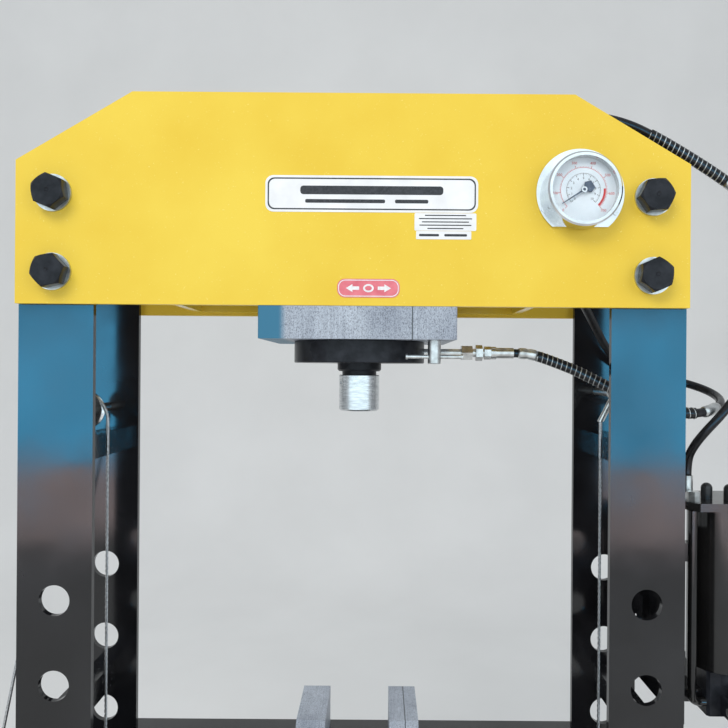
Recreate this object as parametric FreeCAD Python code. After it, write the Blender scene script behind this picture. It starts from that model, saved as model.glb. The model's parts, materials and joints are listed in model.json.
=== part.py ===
"""Hydraulic shop press: an H frame with a sliding ram carriage, a rope-lifted bed and a hand pump.

Millimetres. The origin is on the floor at the centre of the anchor holes: X to the right, Y to the
back, Z up.
"""
import FreeCAD, Part
import math
import os

V = FreeCAD.Vector
X_AXIS, Y_AXIS, Z_AXIS = V(1, 0, 0), V(0, 1, 0), V(0, 0, 1)
FIT = 0.05            # radial running clearance
GAP = 0.4             # space between bodies that slide past each other

# head beam and posts
HEAD_LENGTH, HEAD_BOTTOM, HEAD_TOP, HEAD_PLATE = 1016.0, 1480.0, 1800.0, 12.0
HEAD_END_HEIGHT, HEAD_CHAMFER_RUN = 216.0, 175.0
POST_WIDTH, POST_PLATE, POST_DEPTH, POST_TOP = 114.0, 10.0, 212.0, 1680.0
HALF_LENGTH = HEAD_LENGTH / 2
HALF_DEPTH = POST_DEPTH / 2
HALF_GAP = HALF_DEPTH - POST_PLATE
HEAD_FRONT = HALF_DEPTH + HEAD_PLATE
POST_X = HALF_LENGTH - POST_WIDTH / 2
DIAPHRAGM_X, DIAPHRAGM_PLATE = 285.0, 12.0
RAIL_BOTTOM, RAIL_HEIGHT, RAIL_WIDTH = 1486.0, 12.0, 16.0
HEAD_BOLT_R, HEAD_BOLT_HOLE_R, HEAD_BOLT_AF, HEAD_BOLT_HEAD = 15.0, 15.5, 46.0, 19.0
HEAD_BOLT_Z = (HEAD_BOTTOM + 48.0, HEAD_BOTTOM + 166.0)
WASHER_R, WASHER_THICK, NUT_THICK = 28.0, 4.0, 24.0
SPACER_WIDTH, SPACER_HEIGHT, SPACER_Z = 36.0, 40.0, (444.0, 834.0, 1251.0)

# feet and lower cross channels
FOOT_WIDTH, FOOT_HEIGHT, FOOT_LENGTH, FOOT_WALL = 120.0, 60.0, 780.0, 8.0
ANCHOR_Y, ANCHOR_HOLE_R = 340.0, 9.0
GUSSET_TOE, GUSSET_RUN, GUSSET_PLATE = 15.0, 200.0, 10.0
CROSS_BOTTOM, CROSS_HEIGHT, CROSS_FLANGE, CROSS_WALL = 130.0, 120.0, 55.0, 8.0
CROSS_BOLT_R, CROSS_BOLT_AF, CROSS_BOLT_HEAD, CROSS_BOLT_DX = 10.0, 30.0, 13.0, 32.0

# bed, its pins and blocks
PIN_HOLE_R, PIN_R, PIN_LENGTH, PIN_HEAD_R = 23.5, 22.0, 400.0, 28.0
PIN_HOLE_TOP, PIN_PITCH, PIN_HOLE_COUNT = 1029.0, 130.0, 6
BED_HOLE_Z = PIN_HOLE_TOP - 4 * PIN_PITCH
BED_PIN_Z = BED_HOLE_Z - (PIN_HOLE_R - PIN_R) + 0.1
BED_HEIGHT, BED_FLANGE, BED_WALL = 180.0, 70.0, 9.0
BED_BOTTOM = BED_PIN_Z + PIN_R + 0.1
BED_TOP = BED_BOTTOM + BED_HEIGHT
BED_FACE = HALF_DEPTH + GAP
BED_CROSS_X, BED_CROSS_PLATE = 330.0, 12.0
BLOCK_WIDTH, BLOCK_LENGTH, BLOCK_HEIGHT, BLOCK_SPREAD = 50.0, 330.0, 70.0, 80.0

# ram carriage
RAM_X = 8.0
SLAB_LENGTH, SLAB_HEIGHT = 300.0, 50.0
SLAB_TOP = HEAD_BOTTOM - GAP
SLAB_BOTTOM = HEAD_BOTTOM - SLAB_HEIGHT
RING_R, RING_BOTTOM = 108.0, 1394.6
BARREL_R, BORE_R, BARREL_TOP = 87.5, 55.0, 1770.0
GLAND_TOP = 1458.0
CAP_TOP, CAP_PLUG = 1795.0, 1760.0
ROD_R, PISTON_BOTTOM, PISTON_TOP = 30.0, 1718.0, 1758.0
COLLAR_R, COLLAR_BOTTOM = 36.5, 1381.0
TIP_R, TIP_TOP, TIP_BOTTOM = 33.5, 1375.0, 1316.0
HANGER_BOTTOM, HANGER_PLATE, HANGER_HALF = 1532.0, 12.0, 130.0
ROLLER_R, ROLLER_WIDTH, ROLLER_X, AXLE_R = 15.0, 12.0, 112.0, 6.0
ROLLER_Z = RAIL_BOTTOM + RAIL_HEIGHT + ROLLER_R + 0.05
CLAMP_X, CLAMP_Y, CLAMP_R, CLAMP_BOTTOM = 126.0, -90.0, 10.0, 1393.5
TOMMY_R, TOMMY_LENGTH, TOMMY_Z = 3.0, 88.0, 1404.5
PORT_Z = 1413.0

# gauge
GAUGE_X, GAUGE_Z, GAUGE_FLANGE_R, GAUGE_FLAT = 341.0, 1651.5, 66.0, 50.0
GAUGE_BEZEL_R, GAUGE_CASE_R, GAUGE_FRONT, GAUGE_BACK = 55.0, 50.0, -149.0, -60.0
GAUGE_DIAL_Y, GAUGE_LENS_Y, GAUGE_WINDOW_R = -136.0, -145.0, 48.5

# lift rope, pulleys and winch
ROPE_R = 2.5
TOP_PULLEY_Z, TOP_PULLEY_R = 1313.0, 28.0
BED_PULLEY_R, ROPE_X = 25.0, 412.0
BED_PULLEY_X = ROPE_X - BED_PULLEY_R
BED_PULLEY_Z = 540.0
PULLEY_WIDTH, PULLEY_AXLE_R = 16.0, 8.0
WINCH_X, WINCH_Z, DRUM_R, DRUM_HALF = -640.0, 640.0, 30.0, 28.0
CRANK_RADIUS, CRANK_Y = 100.0, -70.0

# pump
TANK_X, TANK_R, TANK_TOP, TANK_BOTTOM = 618.0, 56.0, 1162.0, 900.0
LID_X, LID_Y, LID_THICK, LID_CHAMFER = 150.0, 124.0, 13.0, 14.0
PUMP_TOP, PUMP_BOTTOM, PUMP_HALF = 900.0, 830.0, 45.0
LEVER_Z, LEVER_Y = 850.0, -74.0

RUN_TOP, TERMINAL_END = 1240.0, 1300.0
ANCHOR_X, ANCHOR_Z = 436.0, 1348.0
RATCHET_TEETH = 16
LID_CENTRE, OUTLET_X, OUTLET_Y, OUTLET_TOP, PLUNGER_Z = 613.0, 552.0, -12.0, 1213.0, 880.0
TOP_PORT_Z, TOP_HOSE_X, GAUGE_HOSE_Z = 1782.0, 142.0, 1614.0
SPRING_R, SPRING_WAVE, SPRING_STRIP, SPRING_FOLDS = 47.0, 10.0, 3.0, 24
HOSE_R = 7.0


nodes = {}


def box(x0, x1, y0, y1, z0, z1):
    """A block between two corners."""
    return Part.makeBox(x1 - x0, y1 - y0, z1 - z0, V(x0, y0, z0))


def rod(start, axis, radius, length):
    """A cylinder from a start point along an axis."""
    return Part.makeCylinder(radius, length, V(*start), axis)


def ring(start, axis, outer, inner, length):
    """A tube with an outer and an inner radius."""
    return rod(start, axis, outer, length).cut(rod(start, axis, inner, length))


def plate(points, start, direction):
    """A flat plate: a closed outline of points, thickened along a direction."""
    corners = [V(*p) for p in points]
    face = Part.Face(Part.makePolygon(corners + corners[:1]))
    face.translate(V(*start))
    return face.extrude(direction)


def hexagon(start, axis, flats, length, turn=0.0):
    """A hexagonal bar along Y or Z, given its size across flats."""
    radius = flats / math.sqrt(3)
    points = []
    for i in range(6):
        angle = math.radians(60 * i + turn)
        u, w = radius * math.cos(angle), radius * math.sin(angle)
        if abs(axis.y) > 0.5:
            points.append((u, 0, w))
        elif abs(axis.x) > 0.5:
            points.append((0, u, w))
        else:
            points.append((u, w, 0))
    return plate(points, start, axis * length)


def revolve(profile, x, y):
    """A solid of revolution about a vertical line: profile points are (radius, height)."""
    points = [V(x + r, y, z) for r, z in profile]
    face = Part.Face(Part.makePolygon(points + points[:1]))
    return face.revolve(V(x, y, 0), Z_AXIS, 360)


def bevel(solid, size, keep):
    """Bevel the edges that keep() accepts."""
    edges = [e for e in solid.Edges if keep(e)]
    return solid.makeChamfer(size, edges)


def save(name, *solids):
    """Put solids into a node, which may be a group of separate pieces."""
    nodes.setdefault(name, []).extend(solids)


def write_nodes():
    os.makedirs("parts", exist_ok=True)
    for name, solids in nodes.items():
        shape = solids[0] if len(solids) == 1 else Part.makeCompound(solids)
        shape.exportStep("parts/%s.step" % name)


def route_path(points):
    """Straight runs joined by tangent arcs. Returns the wire, its length and its smallest radius."""
    knots = [V(*p) for p in points]
    edges = []
    radii = []
    here = knots[0]
    for i in range(1, len(knots) - 1):
        before, after = knots[i] - knots[i - 1], knots[i + 1] - knots[i]
        turn = before.getAngle(after)
        setback = 0.45 * min(before.Length, after.Length)
        radius = setback / math.tan(turn / 2)
        start = knots[i] - V(before).normalize() * setback
        end = knots[i] + V(after).normalize() * setback
        inward = (V(after).normalize() - V(before).normalize()).normalize()
        centre = knots[i] + inward * (radius / math.cos(turn / 2))
        middle = centre - inward * radius
        edges.append(Part.LineSegment(here, start).toShape())
        edges.append(Part.Arc(start, middle, end).toShape())
        radii.append(radius)
        here = end
    edges.append(Part.LineSegment(here, knots[-1]).toShape())
    wire = Part.Wire(edges)
    return wire, wire.Length, min(radii)


def tube_along(wire, radius):
    """A round bar that follows a wire."""
    first = wire.Edges[0]
    start = first.valueAt(first.FirstParameter)
    direction = first.tangentAt(first.FirstParameter)
    circle = Part.Wire(Part.makeCircle(radius, start, direction))
    return wire.makePipeShell([circle], True, False)


def hose(name, points, radius):
    """A hose or rope along a route of its own points."""
    wire, length, tightest = route_path(points)
    tube = tube_along(wire, radius)
    expected = math.pi * radius ** 2 * length
    ratio = tube.Volume / expected
    print(name, "length", round(length), "tightest", round(tightest), "volume", round(ratio, 4))
    save(name, tube)


def head_plate(front):
    """One side of the head beam, with its ends chamfered, drilled for the head bolts and the gauge."""
    y = -HEAD_FRONT if front else HALF_DEPTH
    shoulder = HEAD_BOTTOM + HEAD_END_HEIGHT
    flat = HALF_LENGTH - HEAD_CHAMFER_RUN
    outline = [(-HALF_LENGTH, y, HEAD_BOTTOM), (HALF_LENGTH, y, HEAD_BOTTOM), (HALF_LENGTH, y, shoulder),
               (flat, y, HEAD_TOP), (-flat, y, HEAD_TOP), (-HALF_LENGTH, y, shoulder)]
    solid = plate(outline, (0, 0, 0), Y_AXIS * HEAD_PLATE)
    for x in (-POST_X, POST_X):
        for z in HEAD_BOLT_Z:
            solid = solid.cut(rod((x, y - 1, z), Y_AXIS, HEAD_BOLT_HOLE_R, HEAD_PLATE + 2))
    if front:
        solid = solid.cut(rod((GAUGE_X, y - 1, GAUGE_Z), Y_AXIS, GAUGE_CASE_R + 0.5, HEAD_PLATE + 2))
    return solid


def post_plate(x, y):
    """One plate of a post, with its row of pin holes and its bolt holes."""
    solid = box(x - POST_WIDTH / 2, x + POST_WIDTH / 2, y, y + POST_PLATE, FOOT_HEIGHT, POST_TOP)
    for i in range(PIN_HOLE_COUNT):
        z = PIN_HOLE_TOP - i * PIN_PITCH
        solid = solid.cut(rod((x, y - 1, z), Y_AXIS, PIN_HOLE_R, POST_PLATE + 2))
    for z in HEAD_BOLT_Z:
        solid = solid.cut(rod((x, y - 1, z), Y_AXIS, HEAD_BOLT_HOLE_R, POST_PLATE + 2))
    for dx in (-CROSS_BOLT_DX, CROSS_BOLT_DX):
        z = CROSS_BOTTOM + CROSS_HEIGHT / 2
        solid = solid.cut(rod((x + dx, y - 1, z), Y_AXIS, CROSS_BOLT_R + 0.5, POST_PLATE + 2))
    return solid


def channel(x0, x1, face, side, z0, height, flange, wall):
    """A channel along X whose web lies on a post face; side is -1 for the front and 1 for the back."""
    ya, yb = sorted((face * side, (face + flange) * side))
    solid = box(x0, x1, ya, yb, z0, z0 + height)
    ya, yb = sorted(((face + wall) * side, (face + flange + 1) * side))
    return solid.cut(box(x0 - 1, x1 + 1, ya, yb, z0 + wall, z0 + height - wall))


def make_frame():
    save("head_front_plate", head_plate(True))
    save("head_rear_plate", head_plate(False))
    half = DIAPHRAGM_PLATE / 2
    diaphragms = [box(x - half, x + half, -HALF_DEPTH, HALF_DEPTH, RAIL_BOTTOM, HEAD_TOP - 30)
                  for x in (-DIAPHRAGM_X, DIAPHRAGM_X)]
    save("frame_spacers", *diaphragms)
    rail_end = DIAPHRAGM_X - half
    rail_top = RAIL_BOTTOM + RAIL_HEIGHT
    save("frame_spacers",
         box(-rail_end, rail_end, -HALF_DEPTH, RAIL_WIDTH - HALF_DEPTH, RAIL_BOTTOM, rail_top),
         box(-rail_end, rail_end, HALF_DEPTH - RAIL_WIDTH, HALF_DEPTH, RAIL_BOTTOM, rail_top))
    for side, x in (("left", -POST_X), ("right", POST_X)):
        save("%s_post_plates" % side, post_plate(x, -HALF_DEPTH))
        save("%s_post_plates" % side, post_plate(x, HALF_GAP))
    spacers = []
    for x in (-POST_X, POST_X):
        for z in SPACER_Z:
            bar = box(x - SPACER_WIDTH / 2, x + SPACER_WIDTH / 2, -HALF_GAP, HALF_GAP,
                      z - SPACER_HEIGHT / 2, z + SPACER_HEIGHT / 2)
            spacers.append(bar)
    save("frame_spacers", *spacers)


def head_fasteners():
    """Four through bolts, each with a washer at both ends and a nut behind."""
    turns = (12, 38, 24, 5)
    bolts, washers, nuts = [], [], []
    places = [(x, z) for x in (-POST_X, POST_X) for z in HEAD_BOLT_Z]
    under_head = -HEAD_FRONT - WASHER_THICK
    for (x, z), turn in zip(places, turns):
        head = hexagon((x, under_head - HEAD_BOLT_HEAD, z), Y_AXIS, HEAD_BOLT_AF, HEAD_BOLT_HEAD, turn)
        cone = Part.makeCone(HEAD_BOLT_AF / 2 - 0.5, HEAD_BOLT_AF / 2 + 12, 12,
                             V(x, under_head - HEAD_BOLT_HEAD, z), Y_AXIS)
        skirt = rod((x, under_head - HEAD_BOLT_HEAD + 12, z), Y_AXIS, HEAD_BOLT_AF, HEAD_BOLT_HEAD)
        head = head.common(cone.fuse(skirt))
        dimple = Part.makeSphere(5.0, V(x, under_head - HEAD_BOLT_HEAD - 3.5, z))
        reach = 2 * HEAD_FRONT + WASHER_THICK * 2 + NUT_THICK + 8
        shank = rod((x, under_head - 1, z), Y_AXIS, HEAD_BOLT_R, reach)
        bolts.append(head.fuse(shank).cut(dimple).removeSplitter())
        washers.append(ring((x, under_head, z), Y_AXIS, WASHER_R, HEAD_BOLT_R + 0.5, WASHER_THICK))
        washers.append(ring((x, HEAD_FRONT, z), Y_AXIS, WASHER_R, HEAD_BOLT_R + 0.5, WASHER_THICK))
        nut = hexagon((x, HEAD_FRONT + WASHER_THICK, z), Y_AXIS, HEAD_BOLT_AF, NUT_THICK, turn)
        nuts.append(nut.cut(rod((x, HEAD_FRONT, z), Y_AXIS, HEAD_BOLT_R + 0.05, NUT_THICK * 2)))
    save("head_bolts", *bolts)
    save("nuts_and_washers", *washers)
    save("nuts_and_washers", *nuts)


def make_base():
    """Feet along Y, their gussets, and two channels that tie the posts together near the floor."""
    feet = []
    for x in (-POST_X, POST_X):
        half = FOOT_WIDTH / 2
        foot = box(x - half, x + half, -FOOT_LENGTH / 2, FOOT_LENGTH / 2, 0, FOOT_HEIGHT)
        inside = half - FOOT_WALL
        foot = foot.cut(box(x - inside, x + inside, -FOOT_LENGTH, FOOT_LENGTH, -1, FOOT_HEIGHT - FOOT_WALL))
        for y in (-ANCHOR_Y, ANCHOR_Y):
            foot = foot.cut(rod((x, y, 0), Z_AXIS, ANCHOR_HOLE_R, FOOT_HEIGHT + 1))
        feet.append(foot)
    save("feet", feet[0])
    save("feet", feet[1])
    gussets = []
    for x in (-POST_X, POST_X):
        for side in (-1, 1):
            y = side * HALF_DEPTH
            near, toe = x - GUSSET_PLATE / 2, y + side * GUSSET_RUN
            outline = [(near, y, FOOT_HEIGHT), (near, toe, FOOT_HEIGHT),
                       (near, toe, FOOT_HEIGHT + GUSSET_TOE), (near, y, CROSS_BOTTOM - 2)]
            gussets.append(plate(outline, (0, 0, 0), X_AXIS * GUSSET_PLATE))
    save("feet", *gussets)
    bolts, nuts = [], []
    middle = CROSS_BOTTOM + CROSS_HEIGHT / 2
    for side in (-1, 1):
        tie = channel(-HALF_LENGTH, HALF_LENGTH, HALF_DEPTH, side, CROSS_BOTTOM, CROSS_HEIGHT,
                      CROSS_FLANGE, CROSS_WALL)
        axis = Y_AXIS * side
        for x in (-POST_X, POST_X):
            for dx in (-CROSS_BOLT_DX, CROSS_BOLT_DX):
                tie = tie.cut(rod((x + dx, side * (HALF_DEPTH - 1), middle), axis, CROSS_BOLT_R + 0.5,
                                  CROSS_WALL + 2))
                outside = side * (HALF_DEPTH + CROSS_WALL)
                head = hexagon((x + dx, outside, middle), axis, CROSS_BOLT_AF, CROSS_BOLT_HEAD)
                shank = rod((x + dx, outside, middle), axis * -1, CROSS_BOLT_R, 40)
                bolts.append(head.fuse(shank))
                inside = side * HALF_GAP
                nut = hexagon((x + dx, inside, middle), axis * -1, CROSS_BOLT_AF, 16)
                nuts.append(nut.cut(rod((x + dx, inside, middle), axis * -1, CROSS_BOLT_R + 0.05, 17)))
        save("cross_channels", tie)
    save("frame_bolts", *bolts)
    save("nuts_and_washers", *nuts)


def make_carriage():
    """Slab under the head, cylinder through it, and the hanger that rolls on the rails."""
    half = SLAB_LENGTH / 2
    slab = box(RAM_X - half, RAM_X + half, -HEAD_FRONT, HEAD_FRONT, SLAB_BOTTOM, SLAB_TOP)
    slab = bevel(slab, 1.0, lambda e: abs(e.tangentAt(0).z) > 0.9)
    slab = slab.cut(rod((RAM_X, 0, SLAB_BOTTOM - 1), Z_AXIS, BARREL_R + 0.1, SLAB_HEIGHT + 2))
    slab = slab.cut(rod((CLAMP_X, CLAMP_Y, SLAB_BOTTOM - 1), Z_AXIS, CLAMP_R - 2 + FIT, SLAB_HEIGHT + 2))
    save("carriage_slab", slab)
    flange = ring((RAM_X, 0, RING_BOTTOM), Z_AXIS, RING_R, COLLAR_R + 0.3, SLAB_BOTTOM - RING_BOTTOM)
    flange = bevel(flange, 1.2, lambda e: e.BoundBox.XLength > 2 * RING_R - 1 and e.BoundBox.ZLength < 1)
    flange = flange.cut(rod((RAM_X + RING_R - 14, 0, PORT_Z), X_AXIS, 6.45, 20))
    save("cylinder_ring_flange", flange)
    barrel = ring((RAM_X, 0, SLAB_BOTTOM), Z_AXIS, BARREL_R, BORE_R, BARREL_TOP - SLAB_BOTTOM)
    save("cylinder_barrel", barrel)
    cap = revolve([(0, CAP_PLUG), (BORE_R - 0.1, CAP_PLUG), (BORE_R - 0.1, BARREL_TOP),
                   (BARREL_R, BARREL_TOP), (BARREL_R, CAP_TOP - 3), (BARREL_R - 3, CAP_TOP),
                   (0, CAP_TOP)], RAM_X, 0)
    save("cylinder_cap", cap.cut(rod((RAM_X + BARREL_R - 12, 0, 1782), X_AXIS, 6.95, 20)))
    gland = ring((RAM_X, 0, SLAB_BOTTOM), Z_AXIS, BORE_R - 0.1, ROD_R + FIT, GLAND_TOP - SLAB_BOTTOM)
    save("cylinder_gland", gland)
    save("cylinder_gland", ring((RAM_X, 0, RING_BOTTOM + 20), Z_AXIS, COLLAR_R + 0.2, ROD_R + FIT, 14))
    lip = HANGER_BOTTOM + HANGER_PLATE
    hanger = box(RAM_X - HANGER_HALF, RAM_X + HANGER_HALF, -84, 84, HANGER_BOTTOM, lip)
    for dx in (-ROLLER_X, ROLLER_X):
        for y in (-82, 72):
            lug = box(RAM_X + dx - 12, RAM_X + dx + 12, y, y + 10, ROLLER_Z - 12, HANGER_BOTTOM + 1)
            hanger = hanger.fuse(lug)
        hanger = hanger.cut(rod((RAM_X + dx, -100, ROLLER_Z), Y_AXIS, AXLE_R + FIT, 200))
    hanger = hanger.cut(rod((RAM_X, 0, HANGER_BOTTOM - 1), Z_AXIS, BARREL_R + 0.1, HANGER_PLATE + 30))
    save("carriage_hanger", *hanger.removeSplitter().Solids)
    save("carriage_hanger", ring((RAM_X, 0, lip), Z_AXIS, BARREL_R + 8, BARREL_R + 0.1, 14))
    for side, dx in (("left", -ROLLER_X), ("right", ROLLER_X)):
        x = RAM_X + dx
        axle = rod((x, -HALF_DEPTH + 2, ROLLER_Z), Y_AXIS, AXLE_R, POST_DEPTH - 4)
        wheels = axle
        for y in (-HALF_DEPTH + 3, HALF_DEPTH - 3 - ROLLER_WIDTH):
            wheels = wheels.fuse(rod((x, y, ROLLER_Z), Y_AXIS, ROLLER_R, ROLLER_WIDTH))
        save("%s_wheelset" % side, wheels.removeSplitter())


def make_ram():
    """Rod and piston, the bright pressure tip below, and the spring that draws them up."""
    rod_solid = revolve([(0, TIP_TOP - 20), (18, TIP_TOP - 20), (18, TIP_TOP), (28.5, TIP_TOP),
                         (28.5, COLLAR_BOTTOM), (COLLAR_R - 3, COLLAR_BOTTOM), (COLLAR_R, COLLAR_BOTTOM + 3),
                         (COLLAR_R, RING_BOTTOM + 12), (ROD_R, RING_BOTTOM + 12),
                         (ROD_R, PISTON_BOTTOM + 0.5), (0, PISTON_BOTTOM + 0.5)], RAM_X, 0)
    save("ram_rod", rod_solid)
    groove = (PISTON_TOP + PISTON_BOTTOM) / 2
    piston = revolve([(0, PISTON_BOTTOM + 0.5), (ROD_R, PISTON_BOTTOM + 0.5), (ROD_R, PISTON_BOTTOM),
                      (BORE_R - FIT, PISTON_BOTTOM), (BORE_R - FIT, groove - 5), (BORE_R - 6, groove - 5),
                      (BORE_R - 6, groove + 5), (BORE_R - FIT, groove + 5), (BORE_R - FIT, PISTON_TOP),
                      (0, PISTON_TOP)], RAM_X, 0)
    save("piston", piston)
    save("piston", ring((RAM_X, 0, groove - 4.9), Z_AXIS, BORE_R - FIT, BORE_R - 5.95, 9.8))
    tip = revolve([(0, TIP_BOTTOM), (TIP_R - 2.5, TIP_BOTTOM), (TIP_R, TIP_BOTTOM + 2.5),
                   (TIP_R, TIP_TOP - 1),
                   (TIP_R - 1, TIP_TOP), (18.05, TIP_TOP), (18.05, TIP_TOP - 20.05), (0, TIP_TOP - 20.05)],
                  RAM_X, 0)
    angle = math.radians(207)
    direction = V(math.cos(angle), math.sin(angle), 0)
    hole = rod((RAM_X + 18 * direction.x, 18 * direction.y, TIP_TOP - 13), direction, 2.6, 20)
    save("ram_tip", tip.cut(hole))
    screw = rod((RAM_X + 19 * direction.x, 19 * direction.y, TIP_TOP - 13), direction, 2.5, 13.2)
    save("ram_tip", screw)


def make_clamp():
    """The clamp screw through the slab, with its tommy bar."""
    body = revolve([(0, CLAMP_BOTTOM), (CLAMP_R - 0.8, CLAMP_BOTTOM), (CLAMP_R, CLAMP_BOTTOM + 0.8),
                    (CLAMP_R, SLAB_BOTTOM - GAP), (CLAMP_R - 2, SLAB_BOTTOM - GAP),
                    (CLAMP_R - 2, SLAB_TOP - 1),
                    (0, SLAB_TOP - 1)], CLAMP_X, CLAMP_Y)
    half = TOMMY_LENGTH / 2
    hole = rod((CLAMP_X - half, CLAMP_Y, TOMMY_Z), X_AXIS, TOMMY_R + 0.02, TOMMY_LENGTH)
    save("clamp_screw", body.cut(hole))
    bar = rod((CLAMP_X - half, CLAMP_Y, TOMMY_Z), X_AXIS, TOMMY_R, TOMMY_LENGTH)
    for x in (CLAMP_X - half, CLAMP_X + half - 3):
        bar = bar.fuse(rod((x, CLAMP_Y, TOMMY_Z), X_AXIS, TOMMY_R + 1.2, 3))
    save("tommy_bar", bar.removeSplitter())


def make_port_fittings():
    """The turned and hexagonal pieces between the cylinder and its two hoses."""
    x0 = RAM_X + RING_R - 13
    save("port_fittings", rod((x0, 0, PORT_Z), X_AXIS, 6.4, 178 - x0))
    coupler = hexagon((178, 0, PORT_Z), X_AXIS, 23, 18)
    for start, length, radius in ((196, 6, 7.0), (213, 3, 7.0), (227, 9, 10.5)):
        coupler = coupler.fuse(rod((start, 0, PORT_Z), X_AXIS, radius, length))
    for start, length, flats in ((202, 11, 23), (216, 11, 19)):
        coupler = coupler.fuse(hexagon((start, 0, PORT_Z), X_AXIS, flats, length, 30))
    save("port_fittings", coupler.removeSplitter())
    save("port_fittings", rod((236, 0, PORT_Z), X_AXIS, 8.8, 29))
    x1 = RAM_X + BARREL_R
    fitting = rod((x1 - 11, 0, TOP_PORT_Z), X_AXIS, 6.9, 12)
    fitting = fitting.fuse(hexagon((x1 + 1, 0, TOP_PORT_Z), X_AXIS, 22, 15, 30))
    save("port_fittings", fitting.fuse(rod((x1 + 16, 0, TOP_PORT_Z), X_AXIS, 9, TOP_HOSE_X - x1 - 16)))


def make_return_spring():
    """The wave spring round the rod that pushes the piston up."""
    step = (PISTON_BOTTOM - GLAND_TOP - 0.4) / SPRING_FOLDS
    inner = []
    outer = []
    for i in range(SPRING_FOLDS + 1):
        radius = SPRING_R if i % 2 else SPRING_R - SPRING_WAVE
        inner.append((radius, GLAND_TOP + 0.2 + i * step))
        outer.append((radius + SPRING_STRIP, GLAND_TOP + 0.2 + i * step))
    save("return_spring", revolve(inner + outer[::-1], RAM_X, 0))


def make_gauge():
    y_face = -HEAD_FRONT
    flange = ring((GAUGE_X, y_face - 3, GAUGE_Z), Y_AXIS, GAUGE_FLANGE_R, GAUGE_CASE_R, 3)
    below = box(GAUGE_X - 80, GAUGE_X + 80, y_face - 4, y_face + 1, GAUGE_Z - 80, GAUGE_Z - GAUGE_FLAT - 1)
    flange = flange.cut(below)
    screws = []
    for angle in (90, 205, 331):
        x = GAUGE_X + 60.5 * math.cos(math.radians(angle))
        z = GAUGE_Z + 60.5 * math.sin(math.radians(angle))
        flange = flange.cut(rod((x, y_face - 4, z), Y_AXIS, 2.1, 5))
        head = rod((x, y_face - 5, z), Y_AXIS, 4, 2).fuse(rod((x, y_face - 3, z), Y_AXIS, 2, 3))
        screws.append(head.cut(box(x - 3, x + 3, y_face - 6, y_face - 4.2, z - 0.5, z + 0.5)))
    save("gauge_flange", flange)
    save("gauge_flange", *screws)
    back = GAUGE_DIAL_Y + 1.5
    case = ring((GAUGE_X, back, GAUGE_Z), Y_AXIS, GAUGE_CASE_R - 0.05, GAUGE_CASE_R - 2, GAUGE_BACK - back)
    case = case.fuse(rod((GAUGE_X, GAUGE_BACK - 2, GAUGE_Z), Y_AXIS, GAUGE_CASE_R - 0.05, 2))
    save("gauge_case", case)
    depth = y_face - 3 - GAUGE_FRONT
    bezel = ring((GAUGE_X, GAUGE_FRONT, GAUGE_Z), Y_AXIS, GAUGE_BEZEL_R, GAUGE_WINDOW_R, depth)
    bezel = bevel(bezel, 2.5, lambda e: abs(e.BoundBox.YMin - GAUGE_FRONT) < 0.1
                  and abs(e.BoundBox.XLength - 2 * GAUGE_BEZEL_R) < 1)
    recess = rod((GAUGE_X, back, GAUGE_Z), Y_AXIS, GAUGE_CASE_R, 40)
    save("gauge_bezel", bezel.cut(recess))
    save("gauge_dial", rod((GAUGE_X, GAUGE_DIAL_Y, GAUGE_Z), Y_AXIS, GAUGE_WINDOW_R - 0.1, 1.5))
    save("gauge_lens", rod((GAUGE_X, GAUGE_LENS_Y, GAUGE_Z), Y_AXIS, GAUGE_WINDOW_R - 0.1, 2))
    needle_y = GAUGE_DIAL_Y - 3.5
    blade = plate([(-9, 0, -7), (-6, 0, -16), (6, 0, -16), (9, 0, -7), (1.4, 0, 0), (0.5, 0, 38),
                   (-0.5, 0, 38), (-1.4, 0, 0)], (0, 0, 0), Y_AXIS)
    blade = blade.fuse(rod((0, -2, 0), Y_AXIS, 4, 3.4)).fuse(rod((0, 1, 0), Y_AXIS, 1, 2.3))
    blade.rotate(V(0, 0, 0), Y_AXIS, -123)
    blade.translate(V(GAUGE_X, needle_y, GAUGE_Z))
    save("gauge_needle", blade)
    elbow_y = GAUGE_BACK + 15
    elbow = box(GAUGE_X - 9, GAUGE_X + 9, GAUGE_BACK, GAUGE_BACK + 24, GAUGE_Z - 9, GAUGE_Z + 9)
    elbow = elbow.fuse(rod((GAUGE_X, elbow_y, GAUGE_Z), Z_AXIS * -1, 8.8, GAUGE_Z - GAUGE_HOSE_Z))
    save("gauge_case", elbow)


def make_labels():
    """Thin plates on the front of the head, with no wording."""
    face = -HEAD_FRONT
    thick = 0.8
    save("front_labels", box(-132, 188, face - thick, face, 1620.5, 1675.5))
    save("front_labels", box(92.5, 185.5, face - thick, face, 1593.5, 1620))
    save("front_labels", box(95, 178, face - thick, face, 1580.5, 1593))
    half, radius, z = 33.0, 14.0, 1506.4
    oval = box(24 - half, 24 + half, face - thick, face, z - radius, z + radius)
    for x in (24 - half, 24 + half):
        oval = oval.fuse(rod((x, face - thick, z), Y_AXIS, radius, thick))
    save("front_labels", oval.removeSplitter())


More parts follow.
